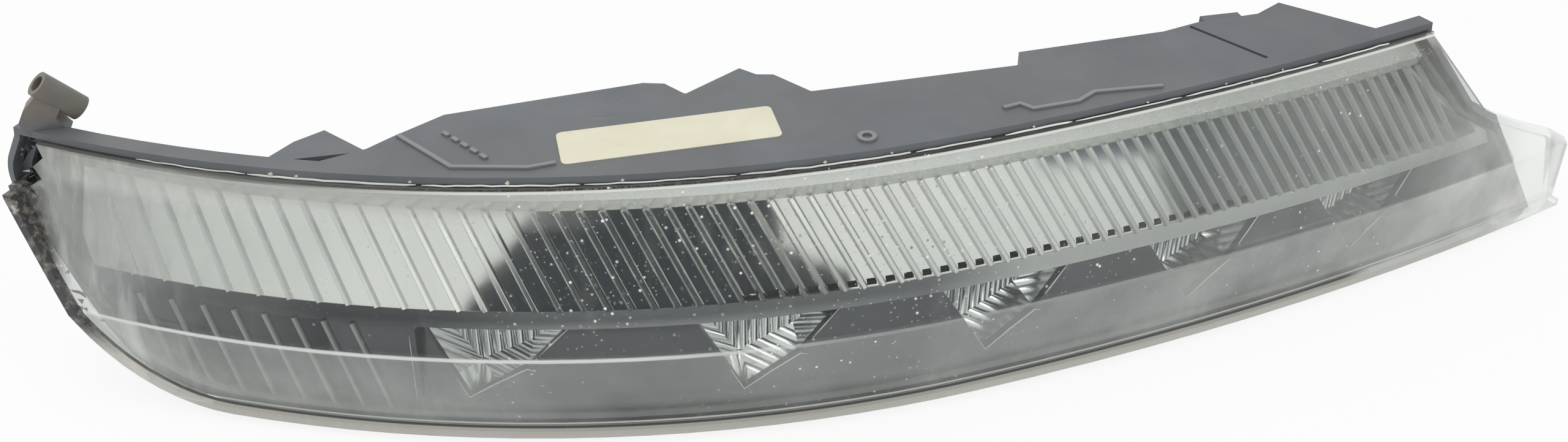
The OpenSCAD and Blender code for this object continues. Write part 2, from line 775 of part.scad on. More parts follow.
// Rear cover, its gasket and what it holds
cover_x = (notch_x0 + notch_x1) / 2;
gasket_t = 1;
flange_t = 2.5;
cover_t = 2;
box_w = driver_w + 2 * cover_t + 1;
flange_y = notch_y + gasket_t;
back_y = flange_y + cover_depth;
cover_screw_places = [for (i = [-1, 1], j = [-1, 1])
    [cover_x + i * (cover_w + box_w) / 4, cover_z + j * (cover_h / 2 - 5)]];
screw_len = 9;
post_len = 5;
peg_d = 4;
hole_gap = 0.5;
passage_w = 20;
passage_h = 14;
module centred(w, h, y0, y1) {
    translate([cover_x - w / 2, y0, cover_z - h / 2]) cube([w, y1 - y0, h]);
}

module rear_cover() {
    color([0.12, 0.12, 0.13]) difference() {
        union() {
            centred(cover_w, cover_h, flange_y, flange_y + flange_t);
            centred(box_w, cover_h, flange_y, back_y);
            centred(socket_w + 2 * cover_t, socket_h + 2 * cover_t, back_y - eps, back_y + socket_depth);
        }
        difference() {
            centred(box_w - 2 * cover_t, cover_h - 2 * cover_t, flange_y - 1, back_y - cover_t);
            for (i = [-1, 1], j = [-1, 1]) translate([cover_x + i * (driver_w - peg_d) / 2,
                board_y + board_t, cover_z + j * (driver_h - peg_d) / 2])
                    rotate([-90, 0, 0]) cylinder(d = peg_d, h = cover_depth, $fn = 32);
        }
        centred(socket_w, socket_h, back_y, back_y + socket_depth + 1);
        for (x = pin_xs) translate([x - pin_side / 2, back_y - 2 * cover_t, cover_z - pin_side / 2])
            cube([pin_side, 4 * cover_t, pin_side]);
        for (p = cover_screw_places) translate([p[0], notch_y, p[1]]) rotate([-90, 0, 0])
            cylinder(d = screw_d + hole_gap, h = screw_len, $fn = 32);
    }
}

module cover_gasket() {
    color([0.2, 0.2, 0.2]) difference() {
        centred(cover_w, cover_h, notch_y, flange_y);
        centred(box_w - 2 * cover_t, cover_h - 2 * cover_t, notch_y - 1, flange_y + 1);
        for (p = cover_screw_places) translate([p[0], notch_y - 1, p[1]]) rotate([-90, 0, 0])
            cylinder(d = screw_d + hole_gap, h = screw_len, $fn = 32);
    }
}

module cover_screws() {
    color([0.62, 0.62, 0.64]) for (p = cover_screw_places) translate([p[0], flange_y + flange_t, p[1]])
        rotate([-90, 0, 0]) difference() {
            union() {
                cylinder(d = 2 * screw_d, h = 2, $fn = 32);
                translate([0, 0, -flange_t - gasket_t - screw_len + 1])
                    cylinder(d = screw_d, h = flange_t + gasket_t + screw_len, $fn = 32);
            }
            translate([0, 0, 1]) cylinder(d = screw_d, h = 2, $fn = 6);
        }
}

pin_side = 1;
pin_xs = [cover_x - 4, cover_x, cover_x + 4];
board_y = back_y - cover_t - board_t - 1.4;
module connector_pins() {
    color([0.8, 0.72, 0.4]) for (x = pin_xs)
        translate([x - pin_side / 2, board_y + board_t, cover_z - pin_side / 2])
            cube([pin_side, back_y + pin_len - board_y - board_t, pin_side]);
}

module driver_board() {
    color([0.1, 0.35, 0.2]) centred(driver_w, driver_h, board_y, board_y + board_t);
}

// Coil, capacitors, driver chip and resistors on the driver board
module driver_parts() {
    color([0.25, 0.25, 0.27]) translate([cover_x, board_y, cover_z]) rotate([90, 0, 0]) {
        translate([-11, 5, 0]) cylinder(d = 9, h = 4.5, $fn = 48);
        for (x = [4, 12]) translate([x, 6, 0]) cylinder(d = 6.3, h = 5.4, $fn = 48);
        translate([-12, -9.5, 0]) cube([7, 7, 1.4]);
        for (i = [0:3]) translate([1 + 4 * i, -8, 0]) cube([1.6, 3.2, 0.8]);
    }
}

// Flat link from the diode board through the rear wall to the driver board
link_s = -6;
link_w = 6;
link_t = 0.8;
link_start = plan(link_s, board_n + board_w);
module link_ribbon() {
    color([0.75, 0.55, 0.25]) translate([link_start[0] + link_w / 2, 0, 0]) rotate([90, 0, -90])
        linear_extrude(height = link_w) polygon(ribbon([[-link_start[1] - seat, board_z + link_t / 2],
            [-link_start[1] - 8, board_z - 3], [-notch_y, cover_z + 4.5], [-board_y + seat, cover_z + 3.8]],
            link_t));
}

// Vent in the rear wall, inboard of the cover
vent_mid = [(42.2 + 86) / 2, (12.5 + 14) / 2];
vent_angle = atan2(14 - 12.5, 86 - 42.2);
vent_hole_d = 4;
module at_vent() {
    translate([vent_mid[0], vent_mid[1], cover_z]) rotate([0, 0, vent_angle]) rotate([-90, 0, 0]) children();
}

module vent_cap() {
    color([0.16, 0.16, 0.17]) at_vent() difference() {
        union() {
            translate([0, 0, 1]) cylinder(d = vent_d, h = 2.5, $fn = 64);
            for (a = [0:90:270]) rotate([0, 0, a]) translate([vent_d / 2 - 2.5, -1, 0]) cube([2, 2, 2]);
        }
        translate([0, 0, 0.8]) cylinder(d = vent_d - 5, h = 1.5, $fn = 64);
    }
}

module vent_membrane() {
    color([0.92, 0.92, 0.9]) at_vent() cylinder(d = vent_d - 6, h = 0.5, $fn = 48);
}

housing();
lens();
sealant_bead();
trim_bezel();
reflector(0);  // reflector_1
reflector(1);  // reflector_2
reflector(2);  // reflector_3
reflector(3);  // reflector_4
reflector(4);  // reflector_5
led(0);  // led_1
led(1);  // led_2
led(2);  // led_3
led(3);  // led_4
led(4);  // led_5
led_board();
heat_sink();
board_screws();
driver_board();
driver_parts();
link_ribbon();
rear_cover();
cover_gasket();
cover_screws();
connector_pins();
vent_cap();
vent_membrane();
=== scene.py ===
import math
import random

import bpy
from mathutils import Matrix, Vector


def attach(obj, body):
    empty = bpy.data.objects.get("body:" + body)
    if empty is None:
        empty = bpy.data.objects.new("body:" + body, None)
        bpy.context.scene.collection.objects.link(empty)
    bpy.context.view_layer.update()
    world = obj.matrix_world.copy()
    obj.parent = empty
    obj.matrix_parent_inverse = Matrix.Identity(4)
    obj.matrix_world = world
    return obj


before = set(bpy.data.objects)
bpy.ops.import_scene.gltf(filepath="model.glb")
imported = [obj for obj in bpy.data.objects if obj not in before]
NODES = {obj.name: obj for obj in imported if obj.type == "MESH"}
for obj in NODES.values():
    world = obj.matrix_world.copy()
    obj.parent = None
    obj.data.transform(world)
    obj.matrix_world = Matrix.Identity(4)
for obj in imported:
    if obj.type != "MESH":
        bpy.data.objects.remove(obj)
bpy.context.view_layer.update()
scene = bpy.context.scene
scene.view_settings.view_transform = "Standard"

# Places and sizes of the lamp are in millimetres, as the CAD model has them. Blender's places and the
# depths of the bumps are in metres, and the scales of the patterns are per metre
MM = 0.001

# Bow of the crease: two arcs that meet at JOIN, where the bow runs TURN off the x axis
JOIN = (16.5, -40.9)
TURN = math.radians(5.5)
R_OUT, R_IN = 365.0, 1013.0
C_OUT = (JOIN[0] - R_OUT * math.sin(TURN), JOIN[1] + R_OUT * math.cos(TURN))
C_IN = (JOIN[0] - R_IN * math.sin(TURN), JOIN[1] + R_IN * math.cos(TURN))

# Height of the crease, and how far the faces over and under it lean back for each millimetre of height
CREASE_Z, UPPER_LEAN, LOWER_LEAN = 26.9, 0.273, 0.044

# Labelled face: its height at x = 0 and its slope along x
FACE_Z, TILT = 74.8, math.tan(math.radians(0.73))

# Trim: foot and top of the ribbed band, the ledge, and the foot of the panel. N is how far behind the crease
BAND_FOOT_N, BAND_FOOT_Z = 8.0, 36.8
BAND_TOP_N, BAND_TOP_Z = 18.2, 60.8
LEDGE_Z = 31.0
PANEL_N, PANEL_Z = 5.4, 5.4

# Recess of the panel: arc length of its start, and how far it leans back for each millimetre of height
RECESS_S, RECESS_LEAN = -151.1, 0.3164

# Windows: how many, arc length of the first, run from the first to the last, share that each gap keeps
WINDOWS, FIRST_WINDOW, WINDOW_RUN, WINDOW_EASE = 5, -137.0, 268.4, 0.935


def plan(s, n):
    """Place in plan at arc length s along the crease and n behind it."""
    (cx, cy), r = (C_OUT, R_OUT) if s < 0 else (C_IN, R_IN)
    a = TURN + s / r
    return cx + (r - n) * math.sin(a), cy - (r - n) * math.cos(a)


def at(s, n, z):
    """The same place at height z, in metres."""
    return Vector((*plan(s, n), z)) * MM


def face_n(z):
    """How far the lens face lies behind the crease at height z."""
    return (z - CREASE_Z) * UPPER_LEAN if z > CREASE_Z else (CREASE_Z - z) * LOWER_LEAN


class Tree:
    """A material's node tree, with short calls for the nodes used here."""

    def __init__(self, name):
        self.mat = bpy.data.materials.new(name)
        self.mat.use_nodes = True
        self.nt = self.mat.node_tree
        self.nt.nodes.clear()
        self.out = self.node("ShaderNodeOutputMaterial")
        self.coord = self.node("ShaderNodeNewGeometry").outputs["Position"]

    def node(self, kind):
        return self.nt.nodes.new(kind)

    def link(self, a, b):
        self.nt.links.new(a, b)

    def put(self, socket, value):
        """Links an output to the socket, or sets the socket to a number or colour."""
        if hasattr(value, "is_output"):
            self.link(value, socket)
        elif isinstance(value, tuple) and socket.type == "RGBA":
            socket.default_value = (*value, 1.0)
        else:
            socket.default_value = value

    def math(self, op, a, b=None, c=None, clamp=False):
        n = self.node("ShaderNodeMath")
        n.operation = op
        n.use_clamp = clamp
        for socket, value in zip(n.inputs, (a, b, c)):
            if value is not None:
                self.put(socket, value)
        return n.outputs[0]

    def chain(self, op, values):
        """Joins all values by one operation, from the first to the last."""
        out = values[0]
        for value in values[1:]:
            out = self.math(op, out, value)
        return out

    def times(self, *values):
        return self.chain("MULTIPLY", values)

    def plus(self, *values):
        return self.chain("ADD", values)

    def most(self, *values):
        return self.chain("MAXIMUM", values)

    def minus(self, a, b, clamp=False):
        return self.math("SUBTRACT", a, b, clamp=clamp)

    def size(self, value):
        return self.math("ABSOLUTE", value)

    def vmath(self, op, a, b):
        n = self.node("ShaderNodeVectorMath")
        n.operation = op
        self.put(n.inputs[0], a)
        self.put(n.inputs[3 if op == "SCALE" else 1], b)
        return n.outputs["Value" if op in ("DISTANCE", "DOT_PRODUCT") else "Vector"]

    def mix(self, fac, a, b):
        n = self.node("ShaderNodeMix")
        n.data_type = "RGBA"
        self.put(n.inputs["Factor"], fac)
        self.put(n.inputs[6], a)
        self.put(n.inputs[7], b)
        return n.outputs[2]

    def ramp(self, value, low, high, a=0.0, b=1.0):
        """Goes from a to b as value goes from low to high, and stays there past them."""
        n = self.node("ShaderNodeMapRange")
        names = ("Value", "From Min", "From Max", "To Min", "To Max")
        for name, v in zip(names, (value, low, high, a, b)):
            self.put(n.inputs[name], v)
        return n.outputs["Result"]

    def near(self, value, middle, reach, soft):
        """1 where value is within reach of middle, falling to 0 over soft."""
        return self.ramp(self.size(self.minus(value, middle)), reach + soft, reach)

    def moved(self, stretch, place):
        """The shaded point's place, scaled and shifted."""
        n = self.node("ShaderNodeMapping")
        n.inputs["Scale"].default_value = stretch
        n.inputs["Location"].default_value = place
        self.link(self.coord, n.inputs["Vector"])
        return n.outputs[0]

    def noise(self, scale, detail=3.0, rough=0.55, stretch=(1, 1, 1), place=(0, 0, 0)):
        n = self.node("ShaderNodeTexNoise")
        self.link(self.moved(stretch, place), n.inputs["Vector"])
        n.inputs["Scale"].default_value = scale
        n.inputs["Detail"].default_value = detail
        n.inputs["Roughness"].default_value = rough
        return n.outputs["Fac"]

    def specks(self, scale, size, place=(0, 0, 0)):
        """Dots: 1 within half the size of their middles, falling to 0 at the size, in shares of a cell."""
        n = self.node("ShaderNodeTexVoronoi")
        self.link(self.moved((1, 1, 1), place), n.inputs["Vector"])
        n.inputs["Scale"].default_value = scale
        return self.ramp(n.outputs["Distance"], size, size * 0.5)

    def split(self, vector):
        n = self.node("ShaderNodeSeparateXYZ")
        self.link(vector, n.inputs[0])
        return n.outputs[0], n.outputs[1], n.outputs[2]

    def place(self):
        """x, y and z of the shaded point in millimetres."""
        return self.split(self.vmath("SCALE", self.coord, 1 / MM))

    def facing(self):
        """x, y and z of the true normal."""
        return self.split(self.node("ShaderNodeNewGeometry").outputs["True Normal"])

    def behind_crease(self):
        """How far the shaded point lies behind the crease, and its x and z, in millimetres."""
        x, y, z = self.place()
        flat = self.node("ShaderNodeCombineXYZ")
        self.link(x, flat.inputs[0])
        self.link(y, flat.inputs[1])
        flat = flat.outputs[0]
        out = self.minus(R_OUT, self.vmath("DISTANCE", flat, (*C_OUT, 0.0)))
        inb = self.minus(R_IN, self.vmath("DISTANCE", flat, (*C_IN, 0.0)))
        along = self.vmath("DOT_PRODUCT", flat, (math.cos(TURN), math.sin(TURN), 0.0))
        inboard = self.math("GREATER_THAN", along, JOIN[0] * math.cos(TURN) + JOIN[1] * math.sin(TURN))
        return self.plus(out, self.times(inboard, self.minus(inb, out))), x, z

    def bump(self, height, strength, distance):
        """A normal that follows the height, which is scaled by the distance in metres."""
        n = self.node("ShaderNodeBump")
        n.inputs["Strength"].default_value = strength
        n.inputs["Distance"].default_value = distance
        self.link(height, n.inputs["Height"])
        return n.outputs[0]

    def principled(self, color, rough, metallic=0.0, spec=0.5, normal=None):
        n = self.node("ShaderNodeBsdfPrincipled")
        self.put(n.inputs["Base Color"], color)
        self.put(n.inputs["Roughness"], rough)
        self.put(n.inputs["Metallic"], metallic)
        n.inputs["Specular IOR Level"].default_value = spec
        if normal is not None:
            self.link(normal, n.inputs["Normal"])
        return n.outputs[0]

    def plain(self, kind, color):
        """A shader node that only has a colour set."""
        n = self.node(kind)
        n.inputs["Color"].default_value = (*color, 1.0)
        return n

    def blend(self, fac, a, b):
        n = self.node("ShaderNodeMixShader")
        self.put(n.inputs[0], fac)
        self.link(a, n.inputs[1])
        self.link(b, n.inputs[2])
        return n.outputs[0]

    def shade(self, shader):
        """Ends the tree with the shader, and returns the material."""
        self.link(shader, self.out.inputs["Surface"])
        return self.mat


def moulded(name, base, other, rough=0.5, grain=900.0, bump=0.12):
    """Moulded plastic, rubber or board: two near colours in soft clouds over a fine grain."""
    t = Tree(name)
    cloud = t.noise(38.0, 4.0)
    color = t.mix(t.ramp(cloud, 0.35, 0.68), base, other)
    rough = t.ramp(cloud, 0.3, 0.7, rough - 0.06, rough + 0.08)
    return t.shade(t.principled(color, rough, spec=0.4, normal=t.bump(t.noise(grain, 2.0), bump, 0.0003)))


def metal(name, base, other, rough=0.3, scale=60.0, stretch=(1, 1, 1)):
    """Metal in two near tones, faintly uneven."""
    t = Tree(name)
    cloud = t.noise(scale, 4.0, stretch=stretch)
    color = t.mix(t.ramp(cloud, 0.3, 0.7), base, other)
    rough = t.ramp(cloud, 0.3, 0.7, rough * 0.8, rough * 1.25)
    return t.shade(t.principled(color, rough, 1.0, normal=t.bump(t.noise(scale * 12, 2.0), 0.05, 0.0002)))


# Colours of the housing, of the wear and dirt on it, and of the painted highlight on its raised relief
HOUSING, HOUSING_DARK, HOUSING_INBOARD = (0.150, 0.160, 0.170), (0.118, 0.126, 0.136), (0.105, 0.11, 0.122)
BLOOM, SCUFF, RELIEF_HIGHLIGHT, EAR_DIRT, BIT = (
    (0.2, 0.2, 0.185), (0.27, 0.28, 0.28), (0.27, 0.28, 0.285), (0.2, 0.175, 0.14), (0.4, 0.4, 0.38))


def housing_material():
    """Grey moulded plastic: dusty level faces, scuffs, a painted highlight on the raised relief, brown dirt
    on the ear.
    """
    t = Tree("housing_plastic")
    x, _, z = t.place()
    up = t.facing()[2]
    cloud = t.noise(30.0, 4.0)
    color = t.mix(t.ramp(cloud, 0.35, 0.68), HOUSING, HOUSING_DARK)
    bloom = t.times(t.ramp(up, 0.6, 0.95), t.ramp(t.noise(14.0, 5.0, 0.6), 0.42, 0.75, 0.0, 0.45))
    color = t.mix(bloom, color, BLOOM)
    scuff = t.ramp(t.noise(120.0, 5.0, 0.7, (0.3, 1.4, 1.0)), 0.66, 0.74, 0.0, 0.35)
    color = t.mix(scuff, color, SCUFF)
    inboard = t.ramp(x, 20.0, 190.0, 0.0, 0.8)
    color = t.mix(inboard, color, HOUSING_INBOARD)
    over_face = t.minus(z, t.math("MULTIPLY_ADD", x, TILT, FACE_Z))
    # Painted highlight: what stands proud of the labelled face, inboard of x = -180, is made paler to stand
    # for light catching the raised relief
    relief = t.times(t.ramp(over_face, 0.08, 0.2), t.ramp(x, -186.0, -180.0), 0.8)
    color = t.mix(relief, color, RELIEF_HIGHLIGHT)
    ear = t.times(t.ramp(x, -201.0, -208.0), t.ramp(z, 72.0, 76.0))
    dirt = t.times(ear, t.ramp(t.noise(150.0, 4.0), 0.3, 0.6, 0.45, 0.95))
    color = t.mix(dirt, color, EAR_DIRT)
    bits = t.times(t.specks(170.0, 0.07, (2, 5, 1)), t.ramp(t.noise(25.0, 2.0), 0.5, 0.6, 0.0, 0.5))
    color = t.mix(bits, color, BIT)
    rough = t.ramp(cloud, 0.3, 0.7, 0.42, 0.56)
    return t.shade(t.principled(color, rough, spec=0.4, normal=t.bump(t.noise(900.0, 2.0), 0.12, 0.0003)))


# Colours of what lies on the lens, of its rim and cut edges, and of the painted highlight lines and painted
# shade lines on it
HAZE, HAZE_TOP, WING = (0.66, 0.68, 0.65), (0.58, 0.58, 0.52), (0.95, 0.95, 0.91)
DUST, HIGHLIGHT_LINE, RIM = (0.92, 0.92, 0.88), (0.9, 0.91, 0.88), (0.66, 0.64, 0.58)
PAINTED_SHADE, EDGE_HIGHLIGHT = (0.1, 0.1, 0.095), (0.9, 0.92, 0.89)
TORN_DARK, TORN_BROWN = (0.035, 0.036, 0.038), (0.24, 0.215, 0.175)

# Tint and refractive index of the clear plastic
CLEAR, LENS_IOR = (0.965, 0.975, 0.97), 1.46

# Heights of the painted highlight lines on the lens: at the foot of its face, and at its top edge for x = 0
FOOT_HIGHLIGHT_Z, TOP_HIGHLIGHT_Z = 5.3, 71.5

# Depths in the wall of the lens where what lies on its outer face, painted highlight lines included, begins
# to fade, and where it is gone
FADE_DEPTH, BARE_DEPTH = 1.0, 1.4


def lens_haze(t, x, z):
    """Haze and smears on the outer face: more under the crease, at both ends and in streaks far left."""
    low = t.ramp(z, CREASE_Z + 0.4, CREASE_Z - 0.4, 0.022, 0.285)
    low_left = t.times(t.ramp(x, -60.0, -150.0, 0.0, 0.13), t.ramp(z, CREASE_Z - 2.0, 6.0))
    top_left = t.times(t.near(x, -150.0, 35.0, 40.0), t.near(z, 65.5, 2.5, 3.0), 0.42)
    left = t.plus(t.ramp(x, -150.0, -215.0, 0.0, 0.28), t.ramp(x, -192.0, -208.0, 0.0, 0.08))
    right = t.plus(t.ramp(x, 30.0, 170.0, 0.0, 0.28), t.ramp(x, 165.0, 200.0, 0.0, 0.16))
    clouds = t.ramp(t.noise(18.0, 5.0, 0.6), 0.3, 0.75, 0.4, 1.5)
    smear = t.ramp(t.noise(90.0, 4.0, 0.6, (1.0, 1.0, 0.3)), 0.58, 0.8, 0.0, 0.1)
    streak = t.ramp(t.noise(150.0, 3.0, 0.6, (1.0, 1.0, 0.12)), 0.5, 0.66, 0.0, 0.22)
    streak = t.times(streak, t.ramp(x, -178.0, -200.0))
    haze = t.times(t.plus(low, low_left, top_left, left, right), clouds)
    return t.plus(haze, smear, streak)


def lens_dust(t, x):
    """Fine specks and coarser grit, thickest about the middle of the lamp."""
    clumps = t.ramp(t.noise(13.0, 2.0, place=(4, 1, 0)), 0.4, 0.56, 0.25, 1.0)
    crowd = t.times(clumps, t.near(x, 10.0, 110.0, 120.0))
    fine = t.times(t.specks(560.0, 0.17), 0.5)
    grit = t.times(t.specks(300.0, 0.16, (3, 1, 2)), t.ramp(t.noise(240.0, 1.0), 0.38, 0.54, 0.2, 1.0))
    return t.times(t.most(fine, grit), crowd)


def lens_highlight_lines(t, x, z, edge_z):
    """Painted highlights: bright lines along the crease, the foot of the face and the top edge."""
    crease = t.times(t.near(z, CREASE_Z, 0.35, 0.5), t.ramp(x, -70.0, -20.0, 0.85, 0.35))
    foot = t.times(t.near(z, FOOT_HIGHLIGHT_Z, 0.22, 0.3), 0.85)
    top = t.times(t.near(edge_z, TOP_HIGHLIGHT_Z, 0.25, 0.3), t.ramp(x, -170.0, -110.0, 0.2, 0.9))
    return t.most(foot, top, crease)


def lens_material():
    """Clear plastic: haze, dust and painted highlight lines lie on the outer face, with painted shade lines
    in the rim and on the top face; its cut edges are frosted, and nearly white at the inboard tip as a
    painted highlight.
    """
    t = Tree("lens_clear")
    n, x, z = t.behind_crease()
    upper = t.times(t.most(t.minus(z, CREASE_Z), 0.0), UPPER_LEAN)
    lower = t.times(t.most(t.minus(CREASE_Z, z), 0.0), LOWER_LEAN)
    depth = t.minus(n, t.plus(upper, lower))
    edge_z = t.minus(z, t.times(x, TILT))
    dust = lens_dust(t, x)
    lines = lens_highlight_lines(t, x, z, edge_z)
    under_seam = t.times(t.near(z, 69.5, 0.8, 2.2), t.ramp(x, -150.0, -60.0, 0.1, 0.5))
    crumbs = t.times(t.ramp(t.noise(1500.0, 2.0, 0.7), 0.52, 0.6), under_seam)
    face = t.times(t.ramp(depth, BARE_DEPTH, FADE_DEPTH), t.most(lens_haze(t, x, z), dust, crumbs, lines))
    nx, _, nz = t.facing()
    cut = t.most(t.ramp(t.size(nz), 0.6, 0.9), t.ramp(t.size(nx), 0.66, 0.8))
    # Painted shade: the top face of the lens over the top highlight line goes dark, standing for the
    # shadowed gap under the lip
    lid_shade = t.times(t.ramp(nz, 0.6, 0.9), t.ramp(edge_z, TOP_HIGHLIGHT_Z + 0.5, TOP_HIGHLIGHT_Z + 0.8))
    rim = t.times(t.ramp(depth, -0.25, -0.6), t.ramp(x, 205.0, 185.0))
    patchy = t.ramp(t.noise(120.0, 4.0, 0.7), 0.36, 0.42)
    outermost = t.most(rim, t.ramp(x, -216.5, -220.5))
    torn = t.times(t.ramp(x, -188.0, -200.0), t.ramp(z, 16.0, 24.0), patchy, outermost)
    edges = t.most(t.times(cut, 0.5), t.times(rim, 0.7), t.times(t.most(torn, lid_shade), 0.92))
    cover = t.math("MAXIMUM", face, edges, clamp=True)

    tone = t.mix(t.ramp(z, 60.0, 75.0), HAZE, HAZE_TOP)
    tone = t.mix(t.ramp(x, 192.0, 212.0), tone, WING)
    tone = t.mix(dust, tone, DUST)
    # Painted highlights: bright lines along the crease, the foot of the face and the top edge
    tone = t.mix(lines, tone, HIGHLIGHT_LINE)
    tone = t.mix(rim, tone, RIM)
    # Painted shade: a dark line in the proud rim, about 0.75 mm before the face, standing for the shadow
    # between face and flange
    tone = t.mix(t.near(depth, -0.75, 0.35, 0.3), tone, PAINTED_SHADE)
    # Painted highlight: the frosted cut edges at the inboard tip, from x = 140 on, are made nearly white
    tone = t.mix(t.times(cut, t.ramp(x, 140.0, 150.0)), tone, EDGE_HIGHLIGHT)
    # Painted shade on the lens's top face, in the gap under the lip
    tone = t.mix(lid_shade, tone, PAINTED_SHADE)
    grime = t.mix(t.ramp(t.noise(300.0, 4.0, 0.7), 0.48, 0.66), TORN_DARK, TORN_BROWN)
    tone = t.mix(torn, tone, grime)

    film = t.principled(tone, 0.6, spec=0.3)
    clear = t.plain("ShaderNodeBsdfTransparent", CLEAR)
    gloss = t.plain("ShaderNodeBsdfGlossy", (1.0, 1.0, 1.0))
    gloss.inputs["Roughness"].default_value = 0.08
    fresnel = t.node("ShaderNodeFresnel")
    fresnel.inputs["IOR"].default_value = LENS_IOR
    shine = t.times(fresnel.outputs[0], t.ramp(depth, BARE_DEPTH, FADE_DEPTH, 0.1, 0.7))
    return t.shade(t.blend(shine, t.blend(cover, clear.outputs[0], film), gloss.outputs[0]))


# Colours of the metallised trim
BAND_BRIGHT, BAND_GREY, BAND_OVER = (0.76, 0.76, 0.72), (0.6, 0.61, 0.59), (0.88, 0.89, 0.85)
PANEL_DARK, PANEL_GREY = (0.045, 0.048, 0.06), (0.125, 0.13, 0.138)
LEDGE_DARK, LEDGE_GREY, LEDGE_REFLECTION = (0.125, 0.135, 0.145), (0.3, 0.315, 0.32), (0.82, 0.84, 0.82)
RIB, LOW_RIB, BLACK = (0.93, 0.94, 0.91), (0.5, 0.51, 0.5), (0.0, 0.0, 0.0)

# Where the band mirrors the dark card: the middle in x, how far it reaches and over what width it fades
DARK_X, DARK_REACH, DARK_FADE = -75.0, 42.0, 35.0


def trim_material():
    """Metallised trim: a bright band with satin ribs, painted highlights on the rib flanks, and a ledge and
    a dark satin panel under it, with a painted reflection on the inboard ledge.
    """
    t = Tree("trim_metallised")
    n, x, z = t.behind_crease()
    on_band = t.ramp(z, BAND_FOOT_Z - 0.2, BAND_FOOT_Z + 0.2)
    over_band = t.ramp(z, BAND_TOP_Z - 0.2, BAND_TOP_Z + 0.4)
    ribbed = t.minus(on_band, over_band, clamp=True)
    on_ledge = t.minus(t.ramp(z, LEDGE_Z - 0.15, LEDGE_Z), on_band, clamp=True)
    clear_of_dark = t.minus(1.0, t.near(x, DARK_X, DARK_REACH, DARK_FADE))
    proud = t.minus(t.ramp(z, BAND_FOOT_Z, BAND_TOP_Z, BAND_FOOT_N, BAND_TOP_N), n)
    crest = t.times(t.ramp(proud, 0.72, 0.88), ribbed)
    # Painted highlight: the steep flanks of the ribs take the rib's bright tone and a dull finish to hide
    # their dark edges, except where the band mirrors the dark card
    flank_highlight = t.times(t.ramp(proud, 0.02, 0.08), ribbed, clear_of_dark)
    low_proud = t.minus(t.ramp(z, PANEL_Z, LEDGE_Z, PANEL_N, BAND_FOOT_N), n)
    low_proud = t.times(low_proud, t.ramp(x, -128.0, -132.0))
    low_rib = t.times(t.ramp(low_proud, 0.25, 0.6), t.ramp(z, LEDGE_Z + 0.6, LEDGE_Z))

    cloud = t.noise(12.0, 3.0)
    band = t.mix(t.ramp(cloud, 0.3, 0.7), BAND_BRIGHT, BAND_GREY)
    panel = t.mix(t.ramp(x, -151.5, -150.5), PANEL_DARK, PANEL_GREY)
    ledge = t.mix(t.ramp(x, -128.0, -98.0), LEDGE_DARK, LEDGE_GREY)
    # Painted reflection: from x = 5 on the ledge goes bright, and below it goes dull, standing for a bright
    # reflection on it
    ledge = t.mix(t.ramp(x, 5.0, 35.0), ledge, LEDGE_REFLECTION)
    color = t.mix(on_band, t.mix(on_ledge, panel, ledge), band)
    color = t.mix(over_band, color, BAND_OVER)
    rib_tone = t.mix(t.ramp(x, 45.0, 85.0, 1.0, 0.55), BLACK, RIB)
    color = t.mix(crest, color, rib_tone)
    color = t.mix(low_rib, color, LOW_RIB)
    color = t.mix(flank_highlight, color, rib_tone)

    satin = t.times(crest, t.most(clear_of_dark, 0.3))
    mirror = t.ramp(cloud, 0.3, 0.7, 0.05, 0.09)
    off_band = t.most(over_band, t.minus(1.0, on_band))
    rough = t.plus(mirror, t.times(t.most(satin, low_rib, flank_highlight), 0.2), t.times(off_band, 0.18))
    # The dull inboard ledge carries the painted reflection
    dull_ledge = t.times(on_ledge, t.ramp(x, -20.0, 25.0, 0.0, 0.7))
    dull = t.most(t.times(flank_highlight, 0.9), t.times(over_band, 0.5), dull_ledge)
    return t.shade(t.principled(color, rough, t.minus(1.0, dull)))


def label_material():
    """Cream paper, faintly clouded and stained."""
    t = Tree("label_paper")
    cloud = t.noise(60.0, 5.0, 0.6)
    stain = t.ramp(t.noise(210.0, 5.0, 0.7, place=(1, 2, 0)), 0.6, 0.75, 0.0, 0.5)
    color = t.mix(t.ramp(cloud, 0.35, 0.7), (0.79, 0.76, 0.61), (0.73, 0.69, 0.52))
    color = t.mix(stain, color, (0.5, 0.45, 0.33))
    return t.shade(t.principled(color, 0.45, spec=0.4, normal=t.bump(t.noise(150.0, 3.0), 0.2, 0.0003)))


def dress(mat, *names):
    """Puts the material on the named CAD nodes."""
    for name in names:
        mesh = NODES[name].data
        mesh.materials.clear()
        mesh.materials.append(mat)


sealant = moulded("sealant", (0.022, 0.022, 0.024), (0.045, 0.044, 0.042), 0.35, 500.0, 0.4)
dress(housing_material(), "housing")
dress(lens_material(), "lens")
dress(trim_material(), "trim_bezel")
dress(sealant, "sealant_bead")
dress(metal("reflector_bright", (0.86, 0.87, 0.86), (0.76, 0.78, 0.77), 0.1, 30.0),
      *("reflector_%d" % i for i in range(1, WINDOWS + 1)))
dress(moulded("led_phosphor", (0.75, 0.6, 0.16), (0.8, 0.7, 0.3), 0.4),
      *("led_%d" % i for i in range(1, WINDOWS + 1)))
dress(moulded("board_white", (0.75, 0.76, 0.74), (0.66, 0.67, 0.64), 0.35), "led_board")
dress(metal("sink_aluminium", (0.62, 0.64, 0.66), (0.52, 0.53, 0.55), 0.35, 90.0, (1, 8, 8)), "heat_sink")
dress(metal("screw_steel", (0.55, 0.55, 0.57), (0.42, 0.42, 0.44), 0.3, 400.0),
      "board_screws", "cover_screws")
dress(moulded("board_green", (0.02, 0.13, 0.06), (0.015, 0.09, 0.04), 0.35), "driver_board")
dress(moulded("components", (0.03, 0.03, 0.032), (0.05, 0.05, 0.052), 0.4), "driver_parts")
